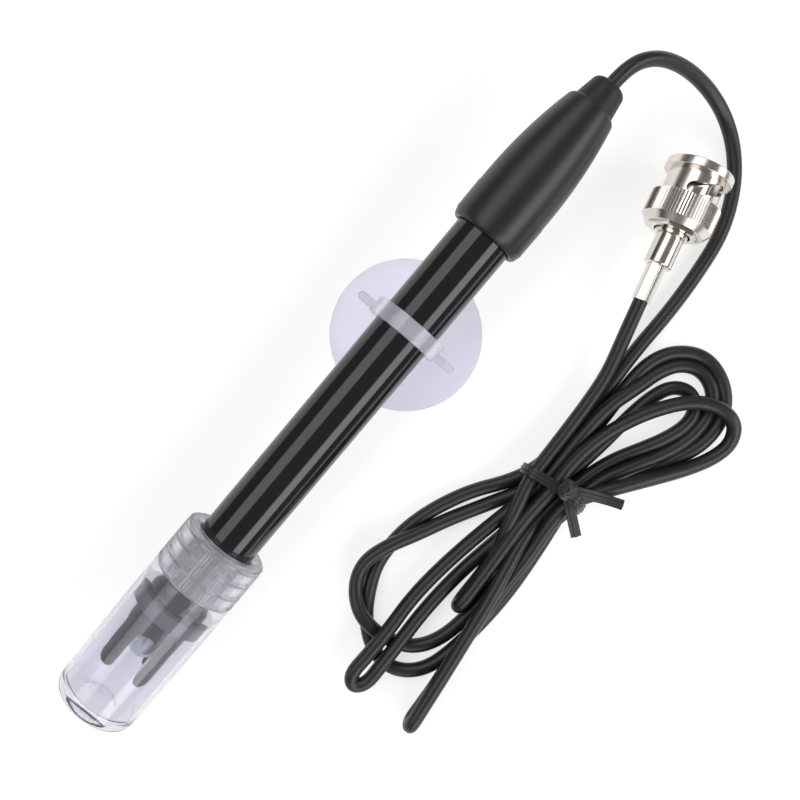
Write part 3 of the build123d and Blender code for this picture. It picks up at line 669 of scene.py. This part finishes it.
@dataclass
class StorageBottle:
    """The clear bottle with its neck, the seals and the ribbed cap.

    Sizes are in millimetres. Stations are from the bottle's bottom, and the inner taper's start and end are
    how far they lie below the shoulder.
    """

    finishes: Finishes
    body_length: float = 32.7
    foot_radius: float = 8.85
    draft: float = 0.2
    bore_radius: float = 8.0
    floor: float = 2.5
    dish_radius: float = 5.0
    dish_depth: float = 0.7
    dish_bend: Corner = Corner(0.45, 3.0, rounding=1.2)
    neck_length: float = 7.4
    neck_radius: float = 8.0
    mouth_radius: float = 6.8
    taper_start: float = 4.0
    taper_end: float = 2.0
    cap_gap: float = 0.06
    cap_radius: float = 9.05
    cap_length: float = 10.5
    cap_wall: float = 0.9
    cap_top: float = 1.3
    cap_chamfer: float = 0.5
    hole_radius: float = 6.5
    skirt: float = 0.4
    bands: int = 3
    band_pitch: float = 3.1
    band_length: float = 2.4
    groove_depth: float = 0.3
    slope: float = 0.05
    rim_length: float = 0.7
    ribs: int = 84
    rib_depth: float = 0.22

    def build(self) -> None:
        """Builds the bottle and the cap and dresses the two seals."""
        self.build_body()
        self.build_cap()
        dress("bottle_seal", self.finishes["seal_rubber"])
        dress("cap_o_ring", self.finishes["black_rubber"])

    def build_body(self) -> bpy.types.Object:
        """Turns the bottle with its dished foot, rounded floor and thin neck.

        Returns:
            The bottle.
        """
        end = self.body_length + self.neck_length
        top = self.body_length - self.cap_gap
        outline = [
            Corner(self.dish_depth, 0.0),
            self.dish_bend,
            Corner(0.0, self.dish_radius, rounding=0.8),
            Corner(0.0, self.foot_radius, rounding=2.4),
            Corner(top, self.foot_radius + self.draft, rounding=0.4),
            Corner(top, self.neck_radius),
            Corner(end, self.neck_radius, rounding=0.25),
            Corner(end, self.mouth_radius, rounding=0.25),
            Corner(self.body_length - self.taper_end, self.mouth_radius, rounding=0.5),
            Corner(self.body_length - self.taper_start, self.bore_radius, rounding=0.8),
            Corner(self.floor, self.bore_radius, rounding=1.6),
            Corner(self.floor, 0.0),
        ]
        shape = turned(outline, steps=128)
        return finish_mesh("storage_bottle", shape, self.finishes["clear_plastic"], "bottle",
                           ["bottle_body"], Place.ELECTRODE.matrix())

    def cap_outline(self) -> list[Corner]:
        """Draws the cap's section: the skirt, the bands and their grooves, the rim and the hole.

        Returns:
            The corners in order.
        """
        start = self.body_length
        end = start + self.cap_length
        first = start + self.skirt
        band, groove = self.cap_radius, self.cap_radius - self.groove_depth
        inner = self.cap_radius - self.cap_wall
        skirt, rim = band - self.slope, band - 2.0 * self.slope
        corners = [Corner(start, inner), Corner(start, skirt),
                   Corner(first, skirt), Corner(first, groove)]
        for number in range(self.bands):
            low = first + self.band_pitch * number
            high = low + self.band_length
            corners += [Corner(low + self.slope, band), Corner(high, band),
                        Corner(high + self.slope, groove),
                        Corner(low + self.band_pitch - self.slope, groove)]
        corners += [Corner(end - self.rim_length, rim), Corner(end - self.cap_chamfer, rim),
                    Corner(end, groove - self.cap_chamfer), Corner(end, self.hole_radius + self.cap_chamfer),
                    Corner(end - self.cap_chamfer, self.hole_radius),
                    Corner(end - self.cap_top, self.hole_radius), Corner(end - self.cap_top, inner)]
        return corners

    def build_cap(self) -> bpy.types.Object:
        """Turns the cap and presses the ribs into its bands and rim.

        Returns:
            The cap.
        """
        shape = turned(self.cap_outline(), steps=2 * self.ribs)
        lowest = (self.body_length + self.skirt + self.slope / 2) * MM
        ridge = (self.cap_radius - self.groove_depth / 2) * MM
        for point in shape.verts:
            radius = math.hypot(point.co.y, point.co.z)
            turn = math.atan2(point.co.y, point.co.z) / (math.pi / self.ribs)
            if radius > ridge and point.co.x > lowest and round(turn) % 2:
                share = 1.0 - self.rib_depth * MM / radius
                point.co.y *= share
                point.co.z *= share
        return finish_mesh("screw_cap", shape, self.finishes["clear_cap"], "cap", ["bottle_cap"],
                           Place.ELECTRODE.matrix(), sharp=24.0)


@dataclass
class CupClip:
    """The ring clip on its suction cup."""

    finishes: Finishes

    def build(self) -> None:
        """Dresses the clip and the cup."""
        dress("clip_ring", self.finishes["clip_plastic"])
        dress("suction_cup", self.finishes["clear_vinyl"])


@dataclass
class CoaxPlug:
    """The bayonet coax plug at the lead's end. Sizes are in millimetres."""

    finishes: Finishes
    bore: float = 1.52
    hex_flats: float = 3.5
    hex_length: float = 7.8
    hex_turn: float = 10.0
    hex_edge: float = 0.16
    hex_seat: float = 0.3
    sleeve_radius: float = 2.85
    sleeve_length: float = 6.4
    sleeve_wall: float = 0.5
    sleeve_floor: float = 1.0
    smooth_angle: float = 26.0
    dressing: dict[str, str] = field(default_factory=lambda: {
        "plug_lead_end": "lead_sheath",
        "plug_body": "nickel_body",
        "rear_nut": "nickel_body",
        "plug_insulator": "white_insulator",
        "centre_pin": "gold_pin",
        "spring_washer": "spring_steel",
        "plug_gasket": "gasket_rubber",
        "coupling_shell": "nickel_coupling",
    })

    def build(self) -> list[bpy.types.Object]:
        """Dresses the plug's nodes and adds the ferrule.

        Returns:
            The plug's objects.
        """
        for node, finish in self.dressing.items():
            dress(node, self.finishes[finish], self.smooth_angle)
        return [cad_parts[node] for node in self.dressing] + [self.build_ferrule()]

    def build_hexagon(self) -> bmesh.types.BMesh:
        """Builds the crimped hexagon with softened edges, turned as the crimping left it.

        Returns:
            The hexagon's mesh.
        """
        corner = self.hex_flats / 2 / math.cos(math.pi / 6)
        end = self.hex_length + self.hex_seat
        shape = turned([Corner(0.0, self.bore), Corner(0.0, corner), Corner(end, corner),
                        Corner(end, self.bore)], steps=6)
        outside = (self.bore + corner) / 2 * MM
        edges = [edge for edge in shape.edges
                 if edge.calc_length() > self.hex_length * MM and math.hypot(*edge.verts[0].co.yz) > outside]
        bmesh.ops.bevel(shape, geom=edges, offset=self.hex_edge * MM, offset_type="OFFSET", segments=3,
                        profile=0.5, affect="EDGES", material=-1)
        bmesh.ops.rotate(shape, verts=shape.verts[:], cent=(0.0, 0.0, 0.0),
                         matrix=Matrix.Rotation(math.radians(self.hex_turn), 3, "X"))
        return shape

    def build_ferrule(self) -> bpy.types.Object:
        """Joins the hexagon and its round sleeve.

        Returns:
            The ferrule.
        """
        shape = self.build_hexagon()
        seam = self.hex_length
        end = seam + self.sleeve_length
        floor = seam + self.sleeve_floor
        outer, inner = self.sleeve_radius, self.sleeve_radius - self.sleeve_wall
        sleeve = turned([Corner(seam, self.bore), Corner(seam, outer, rounding=0.35),
                         Corner(end, outer, rounding=0.1), Corner(end, inner), Corner(floor, inner),
                         Corner(floor, self.bore)], steps=72)
        mesh = bpy.data.meshes.new("sleeve")
        sleeve.to_mesh(mesh)
        sleeve.free()
        shape.from_mesh(mesh)
        bpy.data.meshes.remove(mesh)
        return finish_mesh("ferrule", shape, self.finishes["nickel_ferrule"], "electrode", ["crimp_ferrule"],
                           Place.PLUG.matrix(), sharp=24.0)


@dataclass
class Lead:
    """The thin coax lead: out of the boot, tied in a hank, and on to the plug. Points are in millimetres."""

    finishes: Finishes
    diameter: float = 3.0
    length: float = 1030.0
    out_of_boot: tuple[Point3, ...] = (
        (78.48, 0, 18.70), (83.2, 0, 18.9), (88.9, -2.6, 17.0), (93.2, -7.4, 12.9), (95.6, -13.6, 8.3),
        (95.6, -20.6, 4.4), (92.4, -27.2, 2.2), (86.2, -32.8, 1.5), (77.6, -36.7, 1.5),
        (68.0, -38.1, 1.5), (57.5, -38.8, 1.5), (47.5, -38.6, 1.5), (38.0, -39.2, 1.5),
        (29.5, -39.8, 1.5), (21.5, -39.6, 1.8), (14.5, -38.4, 2.2))
    left_turn_one: tuple[Point3, ...] = (
        (8.8, -35.6, 1.7), (3.3, -31.6, 1.5), (-3.6, -28.3, 1.5), (-10.6, -26.2, 1.5),
        (-16.8, -25.7, 1.5), (-21.9, -26.3, 1.5), (-26.5, -28.4, 1.5), (-30.6, -31.0, 1.5),
        (-33.8, -34.3, 1.5), (-35.9, -38.2, 1.5), (-36.0, -42.6, 1.5), (-33.4, -46.6, 1.5),
        (-28.6, -49.2, 1.5), (-18.0, -50.6, 1.5), (-8.0, -50.8, 1.5), (2.0, -49.8, 1.5),
        (8.6, -48.8, 1.7), (14.5, -47.9, 2.2))
    right_turn_one: tuple[Point3, ...] = (
        (20.4, -50.0, 1.6), (26.3, -54.0, 1.5), (34.3, -59.2, 1.5), (41.9, -62.2, 1.5),
        (49.0, -61.6, 1.5), (54.0, -57.4, 1.5), (56.0, -50.8, 1.5), (52.8, -45.2, 1.5),
        (47.6, -42.4, 1.5), (41.0, -42.0, 1.5), (33.0, -42.6, 1.5), (24.0, -42.7, 1.5),
        (17.5, -42.2, 2.1), (12.0, -40.6, 2.2))
    left_turn_two: tuple[Point3, ...] = (
        (6.5, -37.6, 2.0), (1.1, -34.6, 2.0), (-4.8, -31.4, 2.0), (-11.0, -28.4, 3.2),
        (-16.6, -25.2, 4.5), (-22.5, -23.6, 3.6), (-27.6, -25.4, 2.6), (-31.0, -29.4, 3.8),
        (-31.9, -34.4, 3.9), (-31.4, -39.2, 2.0), (-29.8, -43.0, 1.5), (-26.0, -45.8, 1.5),
        (-20.0, -47.4, 1.5), (-10.0, -47.8, 1.5), (0.0, -47.2, 2.0), (8.0, -47.8, 3.9),
        (14.0, -48.7, 4.6))
    right_turn_two: tuple[Point3, ...] = (
        (20.5, -49.4, 4.4), (27.0, -52.6, 3.6), (34.0, -56.8, 2.2), (40.5, -59.1, 1.6),
        (46.4, -59.1, 1.5), (51.2, -57.0, 1.5), (53.2, -52.0, 1.5), (51.2, -47.6, 1.5),
        (47.0, -45.2, 1.5), (41.9, -43.8, 2.6), (34.6, -41.4, 4.2), (26.7, -41.0, 4.3),
        (20.0, -41.2, 4.3), (13.6, -41.2, 4.6))
    first_fold: tuple[Point3, ...] = (
        (4.9, -39.6, 4.0), (-3.9, -38.0, 3.0), (-13.3, -36.7, 2.6), (-21.9, -36.0, 3.4),
        (-29.5, -36.2, 6.1), (-36.0, -36.3, 5.9), (-41.2, -36.2, 5.2), (-43.4, -38.2, 4.2),
        (-41.2, -40.2, 4.0), (-36.0, -39.9, 4.8), (-30.5, -39.7, 5.0), (-22.5, -39.6, 3.2),
        (-11.8, -40.4, 1.7), (-2.0, -42.0, 1.5), (7.0, -43.4, 1.6), (14.0, -44.2, 2.2))
    right_turn_three: tuple[Point3, ...] = (
        (21.0, -45.0, 1.6), (29.0, -46.0, 1.5), (36.0, -46.5, 1.5), (42.0, -47.4, 1.5),
        (46.4, -49.2, 1.5), (48.2, -52.6, 1.5), (46.6, -55.9, 1.6), (42.6, -56.9, 1.8),
        (37.6, -55.4, 1.8), (32.4, -52.8, 1.6), (27.2, -49.9, 1.6), (21.0, -47.6, 2.9),
        (14.0, -45.8, 4.5))
    second_fold: tuple[Point3, ...] = (
        (5.0, -45.0, 4.5), (-2.2, -46.0, 6.0), (-11.0, -47.6, 7.1), (-21.3, -49.2, 7.1),
        (-30.0, -50.6, 6.7), (-37.0, -51.7, 6.0), (-42.0, -52.5, 5.6), (-42.0, -52.5, 1.6),
        (-37.6, -52.2, 1.6), (-33.0, -51.6, 2.6), (-28.0, -50.7, 4.1), (-21.0, -49.7, 4.3),
        (-12.0, -48.9, 4.3), (-4.0, -48.6, 4.3), (2.0, -48.4, 4.6), (8.0, -47.1, 6.7),
        (14.0, -47.2, 7.0))
    right_turn_four: tuple[Point3, ...] = (
        (18.6, -50.0, 7.0), (25.0, -54.6, 6.4), (30.4, -58.8, 4.6), (35.1, -62.2, 3.2),
        (40.0, -65.0, 2.4), (45.0, -66.0, 3.0), (48.8, -63.2, 4.6), (48.8, -57.8, 4.7),
        (45.4, -52.8, 4.6), (38.6, -48.2, 4.5), (31.9, -45.2, 4.6), (25.6, -43.4, 5.6),
        (19.6, -42.6, 6.8), (13.5, -43.0, 7.0))
    third_fold: tuple[Point3, ...] = (
        (5.8, -42.6, 6.6), (-2.3, -43.4, 5.8), (-9.0, -44.0, 5.4), (-16.8, -44.3, 5.6),
        (-16.8, -44.3, 1.6), (-9.6, -44.2, 1.6), (-4.0, -43.6, 2.9), (1.0, -41.6, 5.4),
        (6.6, -39.8, 7.1), (12.6, -38.2, 6.5))
    to_plug: tuple[Point3, ...] = (
        (19.0, -38.3, 4.7), (25.5, -38.1, 4.1), (32.5, -37.7, 4.1), (39.2, -36.9, 4.6),
        (45.0, -34.9, 6.2), (49.4, -33.36, 7.25), (54.3, -32.0, 7.25))

    def route(self) -> list[Point3]:
        """Joins the stretches.

        Returns:
            The control points from the boot to the plug.
        """
        stretches = (
            self.out_of_boot, self.left_turn_one, self.right_turn_one, self.left_turn_two,
            self.right_turn_two, self.first_fold, self.right_turn_three, self.second_fold,
            self.right_turn_four, self.third_fold, self.to_plug)
        return [point for stretch in stretches for point in stretch]

    def build(self, plug: Sequence[bpy.types.Object]) -> bpy.types.Object:
        """Lays the lead as one smooth curve.

        Args:
            plug: The pieces at its far end. Not used.

        Returns:
            The lead.
        """
        curve = bpy.data.curves.new("lead", "CURVE")
        curve.dimensions = "3D"
        curve.bevel_depth = self.diameter / 2 * MM
        curve.bevel_resolution = 7
        curve.use_fill_caps = True
        curve.resolution_u = 8
        points = self.route()
        spline = lay_spline(curve, points)
        spline.use_endpoint_u = True
        spline.use_smooth = True
        curve.materials.append(self.finishes["lead_sheath"])
        lead = bpy.data.objects.new("lead", curve)
        bpy.context.scene.collection.objects.link(lead)
        settle(lead, "electrode", ["lead_to_hank", "lead_hank", "lead_to_plug"])
        return lead


@dataclass
class TwistTie:
    """The flat strip round the waist of the hank, its knot and two tails. Sizes are in millimetres."""

    finishes: Finishes
    width: float = 2.1
    thickness: float = 0.5
    core: float = 0.42
    core_top: float = 0.6
    hoop: tuple[Point3, ...] = (
        (14.9, -44.6, 9.4), (14.7, -42.0, 9.2), (14.2, -39.6, 8.9), (13.8, -37.2, 8.6),
        (13.5, -35.9, 6.4), (13.6, -36.0, 3.2), (13.9, -37.2, 0.9), (14.0, -40.6, 0.42),
        (14.0, -46.0, 0.42), (14.0, -49.6, 0.9), (14.3, -51.0, 3.2), (14.7, -50.4, 6.2),
        (15.0, -48.6, 8.9), (15.1, -46.6, 9.4))
    knot: tuple[Point3, ...] = (
        (14.6, -44.2, 9.5), (15.9, -43.2, 9.9), (17.0, -44.2, 10.6), (16.4, -45.7, 10.9),
        (14.9, -45.7, 10.8), (14.3, -44.6, 11.0), (15.2, -43.6, 11.2), (16.5, -44.2, 11.1),
        (16.4, -45.4, 10.6))
    long_tail: tuple[Point3, ...] = (
        (15.4, -44.2, 10.5), (16.5, -46.4, 10.4), (18.0, -49.6, 9.6), (19.4, -52.6, 9.0),
        (20.5, -55.4, 8.8))
    short_tail: tuple[Point3, ...] = (
        (15.2, -44.8, 10.4), (13.6, -46.8, 10.4), (12.0, -49.0, 9.8), (10.6, -51.0, 9.2),
        (9.7, -52.3, 8.8))

    def profile(self) -> bpy.types.Object:
        """Draws the strip's section: flat, with a round core along its middle.

        Returns:
            A curve object to sweep.
        """
        half, flat, core = self.width / 2, self.thickness / 2, self.core
        crown = core * self.core_top
        below = [(-half, -flat), (-core, -flat), (-crown, -core),
                 (crown, -core), (core, -flat), (half, -flat)]
        above = [(-x, -y) for x, y in below]
        curve = bpy.data.curves.new("strip_section", "CURVE")
        curve.dimensions = "2D"
        spline = curve.splines.new("POLY")
        spline.points.add(len(below + above) - 1)
        for knot, (x, y) in zip(spline.points, below + above):
            knot.co = (x * MM, y * MM, 0.0, 1.0)
        spline.use_cyclic_u = True
        section = bpy.data.objects.new("strip_section", curve)
        bpy.context.scene.collection.objects.link(section)
        return section

    def sweep(
        self, points: Sequence[Point3], section: bpy.types.Object, closed: bool, tilt: float
    ) -> bpy.types.Mesh:
        """Sweeps the strip along a smooth line.

        Args:
            points: The line's control points, in millimetres.
            section: The strip's section.
            closed: Whether the line closes on itself.
            tilt: The strip's roll about the line, in radians.

        Returns:
            The strip's mesh.
        """
        curve = bpy.data.curves.new("strip", "CURVE")
        curve.dimensions = "3D"
        curve.twist_mode = "MINIMUM"
        curve.bevel_mode = "OBJECT"
        curve.bevel_object = section
        curve.use_fill_caps = True
        curve.resolution_u = 6
        spline = lay_spline(curve, points, tilt)
        spline.use_cyclic_u = closed
        spline.use_endpoint_u = not closed
        maker = bpy.data.objects.new("strip", curve)
        bpy.context.scene.collection.objects.link(maker)
        bpy.context.view_layer.update()
        mesh = bpy.data.meshes.new_from_object(maker.evaluated_get(bpy.context.evaluated_depsgraph_get()))
        bpy.data.objects.remove(maker)
        bpy.data.curves.remove(curve)
        return mesh

    def build(self) -> bpy.types.Object:
        """Joins the hoop, the knot and the tails into one piece.

        Returns:
            The tie.
        """
        section = self.profile()
        shape = bmesh.new()
        for points, closed, tilt in (
            (self.hoop, True, 0.0), (self.knot, False, math.pi / 2),
            (self.long_tail, False, 0.0), (self.short_tail, False, 0.0),
        ):
            mesh = self.sweep(points, section, closed, tilt)
            shape.from_mesh(mesh)
            bpy.data.meshes.remove(mesh)
        bpy.data.curves.remove(section.data)
        bmesh.ops.remove_doubles(shape, verts=shape.verts[:], dist=MERGE_DISTANCE)
        bmesh.ops.recalc_face_normals(shape, faces=shape.faces[:])
        return finish_mesh("twist_tie_strip", shape, self.finishes["tie_plastic"], "electrode",
                           ["twist_tie"])


# Stage


@dataclass(frozen=True)
class Lamp:
    """A long lamp parallel to the electrode.

    Its angle is from straight overhead, positive towards +Y, and its spread is how wide it looks from the
    object, both in degrees. Its length is in metres, and its radiance is how bright its face is.
    """

    name: str
    angle: float
    spread: float
    length: float
    radiance: float


@dataclass
class Studio:
    """A pale floor, two long soft lamps beside the electrode, a dim surround and the camera.

    Sizes are in metres, and the lens is in millimetres.
    """

    camera_at: Point3 = (0.0078, -0.00785, 0.180)
    camera_up: Point3 = (0.7638, 0.6455, 0.0)
    lens: float = 38.565
    surround: float = 0.22
    through: float = 0.55
    floor_half: float = 3.0
    floor_drop: float = 0.00004
    floor_shade: Colour = (0.42, 0.42, 0.42)
    floor_glow: float = 0.71
    distance: float = 0.6
    lamps: tuple[Lamp, ...] = (
        Lamp("near_strip", angle=-53.0, spread=26.0, length=1.4, radiance=3.4),
        Lamp("far_strip", angle=30.0, spread=34.0, length=1.4, radiance=1.8),
    )

    def build(self) -> None:
        """Builds the floor, the world, the lamps and the camera."""
        self.build_floor()
        self.build_world()
        for lamp in self.lamps:
            self.hang(lamp)
        self.build_camera()
        bpy.context.scene.view_settings.view_transform = "Standard"

    def build_floor(self) -> None:
        """Builds the floor, white to the eye and in reflections, and still shaded by the object."""
        shape = bmesh.new()
        bmesh.ops.create_grid(shape, x_segments=8, y_segments=8, size=self.floor_half)
        mesh = bpy.data.meshes.new("floor")
        shape.to_mesh(mesh)
        shape.free()
        floor = bpy.data.objects.new("floor", mesh)
        floor.location.z = -self.floor_drop
        bpy.context.scene.collection.objects.link(floor)
        material = bpy.data.materials.new("pale_floor")
        material.use_nodes = True
        material.node_tree.nodes.clear()
        graph = Graph(material.node_tree)
        matt = graph.add("ShaderNodeBsdfDiffuse", {"Color": rgba(self.floor_shade)})
        path = graph.add("ShaderNodeLightPath")
        bent = graph.math("MAXIMUM", path.outputs["Is Glossy Ray"], path.outputs["Is Transmission Ray"])
        seen = graph.math("MAXIMUM", path.outputs["Is Camera Ray"], bent)
        glow = graph.add("ShaderNodeEmission", {"Strength": graph.math("MULTIPLY", seen, self.floor_glow)})
        both = graph.add("ShaderNodeAddShader", {0: matt.outputs[0], 1: glow.outputs[0]})
        graph.add("ShaderNodeOutputMaterial", {"Surface": both.outputs[0]})
        mesh.materials.append(material)

    def build_world(self) -> None:
        """Builds a dim surround that is white to the eye and pale through clear pieces."""
        world = bpy.data.worlds.new("surround")
        world.use_nodes = True
        world.node_tree.nodes.clear()
        graph = Graph(world.node_tree)
        path = graph.add("ShaderNodeLightPath")
        pale = graph.math("MULTIPLY", path.outputs["Is Transmission Ray"], self.through)
        seen = graph.math("MAXIMUM", path.outputs["Is Camera Ray"], pale)
        strength = graph.math("MULTIPLY_ADD", seen, 1.0 - self.surround, self.surround)
        back = graph.add("ShaderNodeBackground", {"Strength": strength})
        graph.add("ShaderNodeOutputWorld", {"Surface": back.outputs[0]})
        bpy.context.scene.world = world

    def hang(self, lamp: Lamp) -> None:
        """Hangs a lamp so that it faces the electrode.

        Args:
            lamp: The lamp's sizes and place.
        """
        light = bpy.data.lights.new(lamp.name, "AREA")
        light.shape = "RECTANGLE"
        light.size = lamp.length
        light.size_y = 2.0 * self.distance * math.tan(math.radians(lamp.spread / 2))
        light.energy = lamp.radiance * math.pi * light.size * light.size_y
        holder = bpy.data.objects.new(lamp.name, light)
        bpy.context.scene.collection.objects.link(holder)
        lean = math.radians(lamp.angle)
        holder.location = (0.0, math.sin(lean) * self.distance, math.cos(lean) * self.distance)
        holder.rotation_euler = (-lean, 0.0, 0.0)

    def build_camera(self) -> None:
        """Puts the camera over the object, looking straight down."""
        data = bpy.data.cameras.new("camera")
        data.lens = self.lens
        data.sensor_width = 36.0
        data.clip_start = 0.01
        camera = bpy.data.objects.new("camera", data)
        bpy.context.scene.collection.objects.link(camera)
        up = Vector(self.camera_up).normalized()
        back = Vector((0.0, 0.0, 1.0))
        turn = Matrix((up.cross(back), up, back)).transposed().to_4x4()
        camera.matrix_world = Matrix.Translation(self.camera_at) @ turn
        bpy.context.scene.camera = camera


def main() -> None:
    """Builds the parts in order, then the stage."""
    logging.basicConfig(level=logging.INFO, format="%(name)s: %(message)s")
    finishes = Finishes()
    Electrode(finishes).build()
    StorageBottle(finishes).build()
    CupClip(finishes).build()
    plug = CoaxPlug(finishes).build()
    Lead(finishes).build(plug)
    TwistTie(finishes).build()
    Studio().build()


if __name__ == "__main__":
    main()
